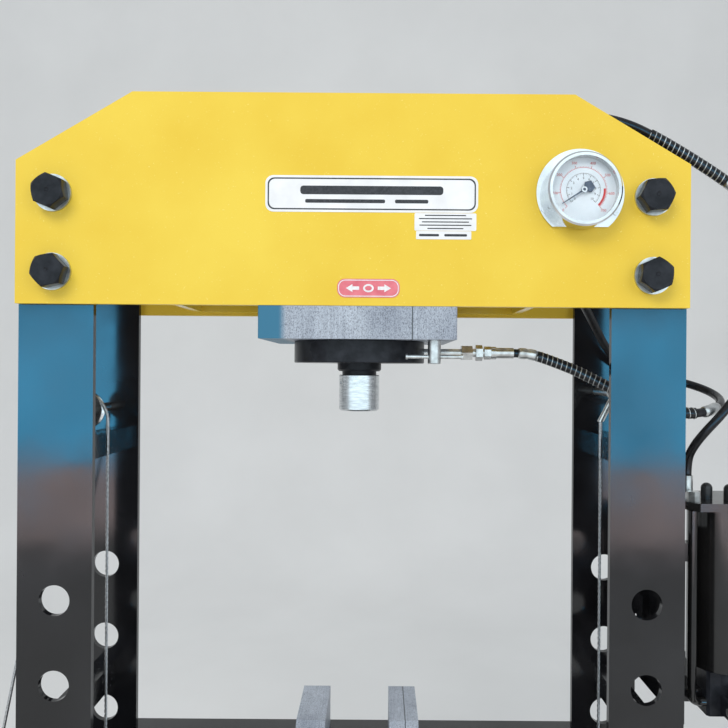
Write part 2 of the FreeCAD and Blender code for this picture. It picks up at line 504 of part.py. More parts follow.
def make_bed():
    """Two channels outside the posts, cross members between them, and brackets for the rope pulleys."""
    for side in (-1, 1):
        beam = channel(-HALF_LENGTH, HALF_LENGTH, BED_FACE, side, BED_BOTTOM, BED_HEIGHT,
                       BED_FLANGE, BED_WALL)
        save("bed_channels", beam)
    cross, brackets, axles = [], [], []
    for side in (-1, 1):
        inner, outer = sorted((side * BED_CROSS_X, side * (BED_CROSS_X + BED_CROSS_PLATE)))
        cross.append(box(inner, outer, -BED_FACE, BED_FACE, BED_BOTTOM + 10, BED_BOTTOM + 150))
        near, far = sorted((side * (BED_CROSS_X + BED_CROSS_PLATE), side * 404))
        for y in (-18, 12):
            cheek = box(near, far, y, y + 6, BED_PULLEY_Z - 20, BED_PULLEY_Z + 60)
            bore = rod((side * BED_PULLEY_X, y - 1, BED_PULLEY_Z), Y_AXIS, PULLEY_AXLE_R, 8)
            brackets.append(cheek.cut(bore))
        axles.append(rod((side * BED_PULLEY_X, -20, BED_PULLEY_Z), Y_AXIS, PULLEY_AXLE_R, 40))
    save("bed_cross_members", *cross)
    save("bed_cross_members", *brackets)
    save("bed_cross_members", *axles)
    for side, x in (("left", -POST_X), ("right", POST_X)):
        half = PIN_LENGTH / 2
        pin = rod((x, -half, BED_PIN_Z), Y_AXIS, PIN_R, PIN_LENGTH)
        pin = pin.fuse(rod((x, -half - 10, BED_PIN_Z), Y_AXIS, PIN_HEAD_R - 6, 10))
        save("%s_bed_pin" % side, pin.removeSplitter())
        block_x = RAM_X + (BLOCK_SPREAD if side == "right" else -BLOCK_SPREAD)
        x0, x1 = block_x - BLOCK_WIDTH / 2, block_x + BLOCK_WIDTH / 2
        block = box(x0, x1, -BLOCK_LENGTH / 2, BLOCK_LENGTH / 2, BED_TOP + 0.1, BED_TOP + 0.1 + BLOCK_HEIGHT)
        top = BED_TOP + BLOCK_HEIGHT + 0.1
        notch = plate([(x0 - 1, -35, top + 1), (x0 - 1, 0, top - 34), (x0 - 1, 35, top + 1)], (0, 0, 0),
                      X_AXIS * (BLOCK_WIDTH + 2))
        save("%s_press_block" % side, block.cut(notch))


def pulley(x, z, rope_radius):
    """A grooved wheel about a line along Y."""
    groove = rope_radius - ROPE_R - 0.3
    half = PULLEY_WIDTH / 2
    rim = groove + 6
    profile = [V(PULLEY_AXLE_R + FIT, -half, 0), V(rim, -half, 0), V(rim, -half + 2, 0), V(groove, -3.2, 0),
               V(groove, 3.2, 0), V(rim, half - 2, 0), V(rim, half, 0), V(PULLEY_AXLE_R + FIT, half, 0)]
    face = Part.Face(Part.makePolygon(profile + profile[:1]))
    wheel = face.revolve(V(0, 0, 0), Y_AXIS, 360)
    wheel.translate(V(x, 0, z))
    return wheel


def make_lift():
    """Rope from the winch over the top pulley, under the bed, and up to its anchor."""
    save("top_pulley", pulley(-POST_X, TOP_PULLEY_Z, TOP_PULLEY_R))
    save("pivot_pins", rod((-POST_X, -HALF_GAP, TOP_PULLEY_Z), Y_AXIS, PULLEY_AXLE_R, 2 * HALF_GAP))
    save("left_bed_pulley", pulley(-BED_PULLEY_X, BED_PULLEY_Z, BED_PULLEY_R))
    save("right_bed_pulley", pulley(BED_PULLEY_X, BED_PULLEY_Z, BED_PULLEY_R))
    centre, drum = V(-POST_X, 0, TOP_PULLEY_Z), V(WINCH_X, 0, WINCH_Z)
    across = drum - centre
    along = V(across).normalize()
    side = V(along.z, 0, -along.x)
    lean = (TOP_PULLEY_R + DRUM_R) / across.Length
    normal = along * lean + side * math.sqrt(1 - lean ** 2)
    off_pulley, on_drum = centre + normal * TOP_PULLEY_R, drum - normal * DRUM_R
    leave = math.radians(60)
    swing = (ROPE_X - POST_X + TOP_PULLEY_R * math.cos(leave)) / (math.cos(leave) - 1)
    left_point = centre + V(math.cos(leave), 0, math.sin(leave)) * TOP_PULLEY_R
    top_point = centre + V(math.cos(math.radians(115)), 0, math.sin(math.radians(115))) * TOP_PULLEY_R
    bulge = abs(swing)
    bulge_centre = left_point - V(math.cos(leave), 0, math.sin(leave)) * bulge
    middle = bulge_centre + V(math.cos(leave / 2), 0, math.sin(leave / 2)) * bulge
    plumb = bulge_centre + X_AXIS * bulge
    wire = Part.Wire([Part.LineSegment(on_drum, off_pulley).toShape(),
                      Part.Arc(off_pulley, top_point, left_point).toShape(),
                      Part.Arc(left_point, middle, plumb).toShape(),
                      Part.LineSegment(plumb, V(plumb.x, 0, RUN_TOP)).toShape()])
    save("lift_rope_upper", tube_along(wire, ROPE_R))
    save("lift_rope_runs", rod((-ROPE_X, 0, BED_PULLEY_Z), Z_AXIS, ROPE_R, RUN_TOP - BED_PULLEY_Z))
    save("lift_rope_runs", rod((ROPE_X, 0, BED_PULLEY_Z), Z_AXIS, ROPE_R, RUN_TOP - BED_PULLEY_Z))
    low = BED_PULLEY_Z - BED_PULLEY_R
    turn = BED_PULLEY_R * math.sqrt(0.5)
    edges = [Part.Arc(V(-ROPE_X, 0, BED_PULLEY_Z), V(-BED_PULLEY_X - turn, 0, BED_PULLEY_Z - turn),
                      V(-BED_PULLEY_X, 0, low)).toShape(),
             Part.LineSegment(V(-BED_PULLEY_X, 0, low), V(BED_PULLEY_X, 0, low)).toShape(),
             Part.Arc(V(BED_PULLEY_X, 0, low), V(BED_PULLEY_X + turn, 0, BED_PULLEY_Z - turn),
                      V(ROPE_X, 0, BED_PULLEY_Z)).toShape()]
    save("lift_rope_under_bed", tube_along(Part.Wire(edges), ROPE_R))
    save("lift_rope_upper", rod((ROPE_X, 0, RUN_TOP), Z_AXIS, ROPE_R, TERMINAL_END - RUN_TOP))
    stud = V(ANCHOR_X, 0, ANCHOR_Z)
    tip = V(ROPE_X, 0, TERMINAL_END)
    down = (tip - stud).normalize()
    eye = rod((stud.x, -5, stud.z), Y_AXIS, 13, 10).cut(rod((stud.x, -6, stud.z), Y_AXIS, 8.05, 12))
    sleeve = Part.makeCylinder(5, (tip - stud).Length - 12, stud + down * 12, down)
    sleeve = sleeve.fuse(Part.makeSphere(5, tip - down * 0.5))
    save("pivot_pins", eye.fuse(sleeve).cut(rod((tip.x, 0, tip.z), Z_AXIS * -1, 20, 30)))
    save("pivot_pins", rod((stud.x, -8, stud.z), Y_AXIS, 8, HALF_GAP + 8))


def make_winch():
    """Bracket on the left post, drum with its ratchet, pawl, crank and grip."""
    bracket = box(-HALF_LENGTH - 8, -HALF_LENGTH, -HALF_DEPTH, HALF_DEPTH, WINCH_Z - 80, WINCH_Z + 80)
    for y in (-46, 40):
        cheek = box(WINCH_X - 48, -HALF_LENGTH - 8, y, y + 6, WINCH_Z - 50, WINCH_Z + 50)
        bracket = bracket.fuse(cheek)
    bracket = bracket.cut(rod((WINCH_X, -60, WINCH_Z), Y_AXIS, PULLEY_AXLE_R + FIT, 120))
    save("winch_bracket", bracket.removeSplitter())
    drum = rod((WINCH_X, -80, WINCH_Z), Y_AXIS, PULLEY_AXLE_R, 145)
    drum = drum.fuse(rod((WINCH_X, -DRUM_HALF, WINCH_Z), Y_AXIS, DRUM_R - ROPE_R - 0.3, 2 * DRUM_HALF))
    for y in (-DRUM_HALF - 4, DRUM_HALF):
        drum = drum.fuse(rod((WINCH_X, y, WINCH_Z), Y_AXIS, 42, 4))
    save("winch_drum", drum.removeSplitter())
    coils = ring((WINCH_X, 4, WINCH_Z), Y_AXIS, DRUM_R + ROPE_R, DRUM_R - ROPE_R - 0.3, 20)
    save("winch_drum", coils)
    points = []
    for i in range(RATCHET_TEETH):
        start = 2 * math.pi * i / RATCHET_TEETH
        points.append((36 * math.cos(start), 0, 36 * math.sin(start)))
        points.append((30 * math.cos(start + 0.06), 0, 30 * math.sin(start + 0.06)))
    wheel = plate(points, (WINCH_X, 48, WINCH_Z), Y_AXIS * 6)
    save("winch_drum", wheel.cut(rod((WINCH_X, 40, WINCH_Z), Y_AXIS, PULLEY_AXLE_R, 20)))
    pawl = rod((WINCH_X + 70, 48, WINCH_Z), Y_AXIS, 9, 6)
    nose = [(36.6, 0, -3), (70, 0, -7), (70, 0, 7), (36.6, 0, 3)]
    pawl = pawl.fuse(plate(nose, (WINCH_X, 48, WINCH_Z), Y_AXIS * 6))
    save("winch_pawl", pawl.cut(rod((WINCH_X + 70, 47, WINCH_Z), Y_AXIS, 5 + FIT, 8)).removeSplitter())
    save("pivot_pins", rod((WINCH_X + 70, 46, WINCH_Z), Y_AXIS, 5, 10))
    arm = box(WINCH_X - 10, WINCH_X + 10, CRANK_Y - 6, CRANK_Y, WINCH_Z - CRANK_RADIUS - 12, WINCH_Z + 14)
    arm = arm.cut(rod((WINCH_X, CRANK_Y - 7, WINCH_Z), Y_AXIS, PULLEY_AXLE_R, 8))
    end = WINCH_Z - CRANK_RADIUS
    arm = arm.fuse(rod((WINCH_X, CRANK_Y - 100, end), Y_AXIS, 5, 96))
    arm = arm.fuse(rod((WINCH_X, CRANK_Y - 102, end), Y_AXIS, 8, 3))
    save("winch_drum", arm.removeSplitter())
    save("crank_grip", ring((WINCH_X, CRANK_Y - 98.5, end), Y_AXIS, 13, 5 + FIT, 92))


def make_pump():
    """Reservoir, lid and fittings on a bracket, with the hand lever and its plunger below."""
    bracket = box(HALF_LENGTH, HALF_LENGTH + 8, -90, 90, 840, 1120)
    bracket = bracket.fuse(box(HALF_LENGTH + 8, TANK_X - PUMP_HALF, -26, 26, 845, 865))
    bracket = bracket.fuse(box(HALF_LENGTH + 8, TANK_X - TANK_R + 1, -12, 12, 1070, 1100))
    save("pump_bracket", bracket.cut(rod((TANK_X, 0, 900), Z_AXIS, TANK_R, 300)).removeSplitter())
    bolts = []
    for y in (-50, 50):
        for z in (880, 978, 1085):
            bolts.append(hexagon((HALF_LENGTH + 8, y, z), X_AXIS, 24, 10, 30))
    save("frame_bolts", *bolts)
    save("pump_bracket", *[box(HALF_LENGTH - 12, HALF_LENGTH, y0, y1, z - 20, z + 20)
                                for y0, y1 in ((-HALF_GAP, -30), (30, HALF_GAP)) for z in (880, 978, 1085)])
    tank = rod((TANK_X, 0, TANK_BOTTOM), Z_AXIS, TANK_R, TANK_TOP - TANK_BOTTOM)
    tank = tank.cut(rod((TANK_X, 0, TANK_BOTTOM + 4), Z_AXIS, TANK_R - 3, TANK_TOP))
    save("reservoir", tank)
    x0, x1, y1 = LID_CENTRE - LID_X / 2, LID_CENTRE + LID_X / 2, LID_Y / 2
    c = LID_CHAMFER
    lid = plate([(x0 + c, -y1, 0), (x1 - c, -y1, 0), (x1, c - y1, 0), (x1, y1 - c, 0), (x1 - c, y1, 0),
                 (x0 + c, y1, 0), (x0, y1 - c, 0), (x0, c - y1, 0)], (0, 0, TANK_TOP), Z_AXIS * LID_THICK)
    top = TANK_TOP + LID_THICK
    save("reservoir_lid", lid)
    heads = [hexagon((x, y, top), Z_AXIS, 17, 16, 20) for x in (550, 676) for y in (-40, 44)]
    save("lid_fittings", *heads)
    for x, y in ((585, -11), (616, -25)):
        cap = rod((x, y, top), Z_AXIS, 9, 17).fuse(Part.makeSphere(9, V(x, y, top + 17)))
        save("lid_fittings", cap.removeSplitter())
    outlet = hexagon((OUTLET_X, OUTLET_Y, top), Z_AXIS, 22, 12, 10)
    save("lid_fittings", outlet.fuse(rod((OUTLET_X, OUTLET_Y, top + 12), Z_AXIS, 9, OUTLET_TOP - top - 12)))
    body = box(TANK_X - PUMP_HALF, TANK_X + PUMP_HALF, -PUMP_HALF, PUMP_HALF, PUMP_BOTTOM, PUMP_TOP)
    body = bevel(body, 4, lambda e: e.BoundBox.ZLength > 50)
    body = body.cut(rod((TANK_X, -PUMP_HALF - 1, PLUNGER_Z), Y_AXIS, 9 + FIT, 75))
    body = body.cut(rod((TANK_X + PUMP_HALF - 25, -20, LEVER_Z), X_AXIS, 5 + FIT, 30))
    save("pump_body", body)
    save("pump_plunger", rod((TANK_X, LEVER_Y + 8.4, PLUNGER_Z), Y_AXIS, 9, 62))
    ears = []
    for x in (TANK_X - 24, TANK_X + 18):
        ear = box(x, x + 6, LEVER_Y - 14, -PUMP_HALF, LEVER_Z - 14, LEVER_Z + 14)
        ears.append(ear.cut(rod((x - 1, LEVER_Y, LEVER_Z), X_AXIS, 6, 8)))
    save("pump_body", *ears)
    save("pivot_pins", rod((TANK_X - 27, LEVER_Y, LEVER_Z), X_AXIS, 6, 54))
    hub = rod((TANK_X - 16, LEVER_Y, LEVER_Z), X_AXIS, 13, 32)
    hub = hub.fuse(box(TANK_X - 8, TANK_X + 8, LEVER_Y - 7, LEVER_Y + 7, LEVER_Z, PLUNGER_Z))
    hub = hub.fuse(rod((TANK_X - 8, LEVER_Y, PLUNGER_Z), X_AXIS, 8, 16))
    hub = hub.fuse(rod((TANK_X, LEVER_Y, LEVER_Z - 60), Z_AXIS, 15, 60))
    save("pump_lever", hub.cut(rod((TANK_X - 17, LEVER_Y, LEVER_Z), X_AXIS, 6 + FIT, 34)).removeSplitter())
    save("pump_lever", ring((TANK_X, LEVER_Y, 400), Z_AXIS, 11, 8, LEVER_Z - 60 - 400))
    save("lever_grip", ring((TANK_X, LEVER_Y, 395), Z_AXIS, 15, 11.05, 110))
    knob = rod((TANK_X + PUMP_HALF - 22, -20, LEVER_Z), X_AXIS, 5, 34)
    for i in range(4):
        angle = math.radians(90 * i + 45)
        y, z = -20 + 9 * math.cos(angle), LEVER_Z + 9 * math.sin(angle)
        knob = knob.fuse(rod((TANK_X + PUMP_HALF + 8, y, z), X_AXIS, 7, 16))
    knob = knob.fuse(rod((TANK_X + PUMP_HALF + 8, -20, LEVER_Z), X_AXIS, 12, 16))
    save("release_knob", knob.removeSplitter())


PIPE_ROUTE = [(545, -50, 1162), (545, -50, 882), (549, -42, 858), (560, -36, 850), (573, -36, 850)]
GAUGE_HOSE = [(265, 0, 1413), (285, 0, 1413), (306, -1, 1408.5), (338, -2, 1397), (373, -6, 1383),
              (415, -18, 1360), (462, -38, 1336), (510, -53, 1320), (548, -54, 1317), (583, -36, 1323),
              (611, -6, 1331), (625, 32, 1341), (617, 64, 1353), (587, 84, 1365), (549, 88, 1372),
              (510, 84, 1380), (472, 76, 1394), (442, 66, 1424), (418, 54, 1462), (394, 24, 1490),
              (368, -8, 1514), (349, -34, 1542), (341, -45, 1578), (341, -45, 1614)]
SUPPLY_HOSE = [(142, 0, 1782), (190, 0, 1782), (240, -6, 1791), (292, -14, 1800), (344, -22, 1803),
               (396, -30, 1799), (443, -37, 1785), (490, -40, 1760), (545, -41, 1727), (597, -40, 1694),
               (638, -40, 1662), (672, -41, 1624), (694, -42, 1576), (699, -43, 1522), (690, -44, 1468),
               (670, -45, 1418), (640, -46, 1374), (607, -50, 1338), (586, -53, 1313), (567, -44, 1288),
               (556, -27, 1263), (552, -12, 1239), (552, -12, 1213)]


def main():
    make_frame()
    head_fasteners()
    make_base()
    make_carriage()
    make_ram()
    make_clamp()
    make_port_fittings()
    make_return_spring()
    make_gauge()
    make_labels()
    make_bed()
    make_lift()
    make_winch()
    make_pump()
    wire = route_path(PIPE_ROUTE)[0]
    save("reservoir", tube_along(wire, HOSE_R))
    hose("gauge_hose", GAUGE_HOSE, HOSE_R)
    hose("supply_hose", SUPPLY_HOSE, HOSE_R)
    write_nodes()


main()
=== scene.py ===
import json
import math

import bpy
from mathutils import Matrix, Vector


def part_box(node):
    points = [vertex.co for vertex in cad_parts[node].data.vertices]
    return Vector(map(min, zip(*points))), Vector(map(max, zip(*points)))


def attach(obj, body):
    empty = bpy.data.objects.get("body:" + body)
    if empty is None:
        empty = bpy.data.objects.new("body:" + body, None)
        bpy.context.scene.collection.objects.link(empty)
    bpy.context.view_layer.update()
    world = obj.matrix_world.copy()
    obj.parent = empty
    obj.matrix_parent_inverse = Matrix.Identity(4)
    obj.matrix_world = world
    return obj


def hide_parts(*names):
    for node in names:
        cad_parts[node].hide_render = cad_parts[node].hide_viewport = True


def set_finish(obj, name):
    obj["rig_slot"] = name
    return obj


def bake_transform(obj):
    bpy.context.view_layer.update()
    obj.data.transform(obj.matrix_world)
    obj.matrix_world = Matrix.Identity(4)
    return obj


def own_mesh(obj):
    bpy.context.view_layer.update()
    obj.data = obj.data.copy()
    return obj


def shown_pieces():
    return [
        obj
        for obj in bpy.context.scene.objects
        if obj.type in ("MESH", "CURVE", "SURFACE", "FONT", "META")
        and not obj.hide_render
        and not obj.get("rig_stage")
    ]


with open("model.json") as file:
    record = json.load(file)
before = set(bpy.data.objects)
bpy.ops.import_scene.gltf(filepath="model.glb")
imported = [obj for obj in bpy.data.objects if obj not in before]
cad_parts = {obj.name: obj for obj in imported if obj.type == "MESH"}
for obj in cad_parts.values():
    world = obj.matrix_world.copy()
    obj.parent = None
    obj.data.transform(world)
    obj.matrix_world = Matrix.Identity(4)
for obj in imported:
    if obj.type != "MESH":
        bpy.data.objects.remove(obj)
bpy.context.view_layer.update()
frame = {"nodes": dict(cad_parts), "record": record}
nodes = frame["nodes"]
scene = bpy.context.scene
scene.view_settings.view_transform = "Standard"


def link(obj):
    """Puts a new object in the scene."""
    scene.collection.objects.link(obj)
    return obj


# ---------------------------------------------------------------- camera
# Level, in front of the press at ram height, and turned a little about its own line of sight.
CAMERA_PLACE = (0.040, -1.168, 1.385)
CAMERA_ROLL = 0.42
camera_data = bpy.data.cameras.new("camera")
camera_data.sensor_width = 36.0
camera_data.lens = 34.53
camera_data.shift_x = -0.0199
camera_data.shift_y = 0.0069
camera_data.clip_start = 0.05
camera = link(bpy.data.objects.new("camera", camera_data))
camera.matrix_world = (
    Matrix.Translation(CAMERA_PLACE)
    @ Matrix.Rotation(math.radians(90), 4, "X")
    @ Matrix.Rotation(math.radians(CAMERA_ROLL), 4, "Z")
)
scene.camera = camera


# ---------------------------------------------------------------- lines and tubes
def route_line(points):
    """The points of the smooth line that a hose follows."""
    data = bpy.data.curves.new("route", "CURVE")
    data.dimensions = "3D"
    data.resolution_u = 10
    spline = data.splines.new("NURBS")
    spline.points.add(len(points) - 1)
    for point, place in zip(spline.points, points):
        point.co = (*place, 1.0)
    spline.order_u = 3
    spline.use_endpoint_u = True
    curve = link(bpy.data.objects.new("route", data))
    bpy.context.view_layer.update()
    mesh = bpy.data.meshes.new_from_object(curve)
    line = [vertex.co.copy() for vertex in mesh.vertices]
    bpy.data.meshes.remove(mesh)
    bpy.data.objects.remove(curve)
    bpy.data.curves.remove(data)
    return line


def resample(line, step):
    """The same line with its points evenly spaced, about step apart."""
    reach = [0.0]
    for a, b in zip(line, line[1:]):
        reach.append(reach[-1] + (b - a).length)
    count = max(2, round(reach[-1] / step))
    result, i = [], 0
    for k in range(count + 1):
        target = reach[-1] * k / count
        while i < len(reach) - 2 and reach[i + 1] < target:
            i += 1
        span = reach[i + 1] - reach[i]
        t = (target - reach[i]) / span if span > 0 else 0.0
        result.append(line[i].lerp(line[i + 1], t))
    return result


def length_of(line):
    """The length along a line of points."""
    return sum((b - a).length for a, b in zip(line, line[1:]))


def between(line, first, last):
    """The part of the line from its point nearest to first to the one nearest to last."""
    a = min(range(len(line)), key=lambda i: (line[i] - Vector(first)).length)
    b = min(range(len(line)), key=lambda i: (line[i] - Vector(last)).length)
    return line[a:b + 1]


def side_vectors(line):
    """Two vectors across the line at each of its points, which don't twist along it."""
    tangents = []
    for i in range(len(line)):
        tangents.append((line[min(i + 1, len(line) - 1)] - line[max(i - 1, 0)]).normalized())
    seed = Vector((0, 0, 1)) if abs(tangents[0].z) < 0.9 else Vector((0, 1, 0))
    side = tangents[0].cross(seed).normalized()
    result = []
    for i, tangent in enumerate(tangents):
        if i:
            turn = tangents[i - 1].rotation_difference(tangent)
            side = (turn @ side).normalized()
        side = (side - tangent * side.dot(tangent)).normalized()
        result.append((side, tangent.cross(side)))
    return result


def mesh_object(name, points, faces, smooth=True):
    """A new object with these points and faces."""
    mesh = bpy.data.meshes.new(name)
    mesh.from_pydata(points, [], faces)
    mesh.validate()
    if smooth:
        mesh.polygons.foreach_set("use_smooth", [True] * len(mesh.polygons))
    return link(bpy.data.objects.new(name, mesh))


def tube_parts(line, radius, sides, profile=None):
    """Points and faces of a capped tube along the line; profile scales its radius along it."""
    points, faces = [], []
    frames = side_vectors(line)
    for i, (place, (a, b)) in enumerate(zip(line, frames)):
        r = radius * (profile(i / (len(line) - 1)) if profile else 1.0)
        for k in range(sides):
            angle = 2 * math.pi * k / sides
            points.append(place + (a * math.cos(angle) + b * math.sin(angle)) * r)
    for i in range(len(line) - 1):
        for k in range(sides):
            n = (k + 1) % sides
            faces.append((i * sides + k, i * sides + n, (i + 1) * sides + n, (i + 1) * sides + k))
    faces.append(tuple(reversed(range(sides))))
    last = (len(line) - 1) * sides
    faces.append(tuple(last + k for k in range(sides)))
    return points, faces


def tube(name, line, radius, sides=20, profile=None):
    """A capped tube along the line."""
    return mesh_object(name, *tube_parts(line, radius, sides, profile))


def coil(name, line, radius, wire, pitch, sides=8, starts=1, per_turn=14):
    """Wire wound round the line: one start is a spring, several are the strands of a rope."""
    frames = side_vectors(line)
    total = length_of(line)
    count = int(total / pitch * per_turn)
    points, faces = [], []
    for s in range(starts):
        path = []
        for k in range(count + 1):
            u = k / count * (len(line) - 1)
            i = min(int(u), len(line) - 2)
            place = line[i].lerp(line[i + 1], u - i)
            a = frames[i][0].lerp(frames[i + 1][0], u - i)
            b = frames[i][1].lerp(frames[i + 1][1], u - i)
            angle = 2 * math.pi * (total * k / count / pitch + s / starts)
            path.append(place + (a * math.cos(angle) + b * math.sin(angle)) * radius)
        more_points, more_faces = tube_parts(path, wire, sides)
        offset = len(points)
        points += more_points
        faces += [tuple(v + offset for v in face) for face in more_faces]
    return mesh_object(name, points, faces)


# ---------------------------------------------------------------- hoses
HOSE_RADIUS, SLEEVE_RADIUS = 0.007, 0.0092
LINE_STEP = 0.004
GUARD_RADIUS, WINDING_WIRE, WINDING_PITCH = 0.0088, 0.0009, 0.0085
GAUGE_HOSE = [
    (0.265, 0, 1.413), (0.285, 0, 1.413), (0.306, -0.001, 1.4085), (0.338, -0.002, 1.397),
    (0.373, -0.006, 1.383), (0.415, -0.018, 1.360), (0.462, -0.038, 1.336),
    (0.510, -0.053, 1.320), (0.548, -0.054, 1.317), (0.583, -0.036, 1.323),
    (0.611, -0.006, 1.331), (0.625, 0.032, 1.341), (0.617, 0.064, 1.353),
    (0.587, 0.084, 1.365), (0.549, 0.088, 1.372), (0.510, 0.084, 1.380),
    (0.472, 0.076, 1.394), (0.442, 0.066, 1.424), (0.418, 0.054, 1.462),
    (0.394, 0.024, 1.490), (0.368, -0.008, 1.514), (0.349, -0.034, 1.542),
    (0.341, -0.045, 1.578), (0.341, -0.045, 1.614),
]
SUPPLY_HOSE = [
    (0.142, 0, 1.782), (0.190, 0, 1.782), (0.240, -0.006, 1.791), (0.292, -0.014, 1.800),
    (0.344, -0.022, 1.803), (0.396, -0.030, 1.799), (0.443, -0.037, 1.785),
    (0.490, -0.040, 1.760), (0.545, -0.041, 1.727), (0.597, -0.040, 1.694),
    (0.638, -0.040, 1.662), (0.672, -0.041, 1.624), (0.694, -0.042, 1.576),
    (0.699, -0.043, 1.522), (0.690, -0.044, 1.468), (0.670, -0.045, 1.418),
    (0.640, -0.046, 1.374), (0.607, -0.050, 1.338), (0.586, -0.053, 1.313),
    (0.567, -0.044, 1.288), (0.556, -0.027, 1.263), (0.552, -0.012, 1.239),
    (0.552, -0.012, 1.213),
]
gauge_line = resample(route_line(GAUGE_HOSE), LINE_STEP)
supply_line = resample(route_line(SUPPLY_HOSE), LINE_STEP)

gauge_hose = tube("gauge_hose_tube", gauge_line, HOSE_RADIUS)
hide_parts("gauge_hose")
gauge_guard_line = between(gauge_line, (0.306, 0, 1.4085), (0.548, -0.054, 1.317))
gauge_guard = tube("gauge_hose_guard", gauge_guard_line, GUARD_RADIUS)
gauge_winding = coil("gauge_guard_winding", gauge_guard_line, GUARD_RADIUS, WINDING_WIRE, WINDING_PITCH)
gauge_sleeve = tube(
    "gauge_hose_sleeve", between(gauge_line, (0.273, 0, 1.413), (0.306, 0, 1.4085)), SLEEVE_RADIUS,
    profile=lambda t: 0.86 if abs(t - 0.5) > 0.47 or abs(t - 0.5) < 0.05 else 1.0,
)
gauge_far_sleeve = tube(
    "gauge_hose_far_sleeve", between(gauge_line, (0.562, -0.050, 1.319), (0.595, -0.024, 1.326)),
    SLEEVE_RADIUS, profile=lambda t: 0.86 if abs(t - 0.5) > 0.46 else 1.0,
)
supply_hose = tube("supply_hose_tube", supply_line, HOSE_RADIUS)
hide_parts("supply_hose")
supply_guard_line = between(supply_line, (0.475, -0.040, 1.769), (0.597, -0.040, 1.694))
supply_guard = tube("supply_hose_guard", supply_guard_line, GUARD_RADIUS)
supply_winding = coil("supply_guard_winding", supply_guard_line, GUARD_RADIUS, WINDING_WIRE,
                      WINDING_PITCH)
supply_sleeve = tube(
    "supply_hose_sleeve", between(supply_line, (0.597, -0.040, 1.694), (0.620, -0.040, 1.677)),
    SLEEVE_RADIUS, profile=lambda t: 0.86 if abs(t - 0.5) > 0.44 else 1.0,
)

# The gauge hose pieces and the supply hose keep their drawn places; the far sleeve and the supply guard,
# winding and sleeve go with the frame.
for piece in (gauge_hose, gauge_guard, gauge_winding, gauge_sleeve):
    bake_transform(piece)
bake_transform(supply_hose)
for piece in (gauge_far_sleeve, supply_guard, supply_winding, supply_sleeve):
    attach(piece, "frame")

# ---------------------------------------------------------------- rope runs and return spring
ROPE_RADIUS, ROPE_X, ROPE_TOP, ROPE_LAY = 0.0025, 0.412, 1.240, 0.026
rope_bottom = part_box("lift_rope_runs")[0][2]
rope_parts = []
for x in (-ROPE_X, ROPE_X):
    straight = resample([Vector((x, 0, rope_bottom)), Vector((x, 0, ROPE_TOP))], 0.02)
    rope_parts.append(coil("rope_run", straight, ROPE_RADIUS * 0.53, ROPE_RADIUS * 0.46, ROPE_LAY,
                           sides=6, starts=3, per_turn=10))
    rope_parts.append(tube("rope_core", straight, ROPE_RADIUS * 0.5, sides=6))


def joined(name, parts):
    """One object made of several, which are removed."""
    points, faces = [], []
    for part in parts:
        offset = len(points)
        points += [part.matrix_world @ v.co for v in part.data.vertices]
        faces += [tuple(i + offset for i in p.vertices) for p in part.data.polygons]
        mesh = part.data
        bpy.data.objects.remove(part)
        bpy.data.meshes.remove(mesh)
    return mesh_object(name, points, faces)


rope_runs = joined("rope_runs_strands", rope_parts)
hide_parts("lift_rope_runs")
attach(rope_runs, "frame")
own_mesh(rope_runs)

spring = link(bpy.data.objects.new("return_spring_leaves", nodes["return_spring"].data.copy()))
spring.data.materials.clear()
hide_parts("return_spring")
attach(spring, "carriage")
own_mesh(spring)

# ---------------------------------------------------------------- labels and dial
LABEL_Y = -0.1180
DIAL_Y = -0.1360
GAUGE_X, GAUGE_Z = 0.341, 1.6515
DIAL_START, DIAL_SWEEP = 225.0, 270.0
RED_SCALE, BLACK_SCALE = 0.0340, 0.0250
FILM, INK, DIAL_INK = 0.0005, 0.00012, 0.0001
NAME_X, NAME_Z = 0.028, 1.648
DATA_X, DATA_Z = 0.139, 1.6067
RATING_X, RATING_Z = 0.1365, 1.5868
FACE_Y = LABEL_Y - FILM
OVAL_X, OVAL_Z = 0.024, 1.5064


def outline(half_x, half_z, radius, steps=6):
    """Corner points of a rounded rectangle, anticlockwise seen from the front."""
    points = []
    for cx, cz, start in ((1, 1, 0), (-1, 1, 90), (-1, -1, 180), (1, -1, 270)):
        for k in range(steps + 1):
            angle = math.radians(start + 90 * k / steps)
            points.append((cx * (half_x - radius) + radius * math.cos(angle),
                           cz * (half_z - radius) + radius * math.sin(angle)))
    return points


def prism(shape, x, z, y_back, thick):
    """Points and faces of a flat piece that faces the front."""
    n = len(shape)
    points = [(x + px, y_back, z + pz) for px, pz in shape]
    points += [(x + px, y_back - thick, z + pz) for px, pz in shape]
    faces = [tuple(reversed(range(n))), tuple(range(n, 2 * n))]
    faces += [(k, (k + 1) % n, n + (k + 1) % n, n + k) for k in range(n)]
    return points, faces


def frame_shape(outer, inner, x, z, y_back, thick):
    """A flat ring between two outlines with the same number of points."""
    n = len(outer)
    points = []
    for y in (y_back, y_back - thick):
        points += [(x + px, y, z + pz) for px, pz in outer]
        points += [(x + px, y, z + pz) for px, pz in inner]
    faces = []
    for k in range(n):
        m = (k + 1) % n
        faces.append((k, n + k, n + m, m))
        faces.append((2 * n + k, 2 * n + m, 3 * n + m, 3 * n + k))
        faces.append((k, m, 2 * n + m, 2 * n + k))
        faces.append((n + k, 3 * n + k, 3 * n + m, n + m))
    return points, faces


def group(name, parts):
    """One flat-shaded object made of several shapes."""
    points, faces = [], []
    for more_points, more_faces in parts:
        offset = len(points)
        points += more_points
        faces += [tuple(i + offset for i in face) for face in more_faces]
    return mesh_object(name, points, faces, smooth=False)


def ellipse(a, b, steps=64):
    """Points round an ellipse."""
    return [(a * math.cos(2 * math.pi * k / steps), b * math.sin(2 * math.pi * k / steps))
            for k in range(steps)]


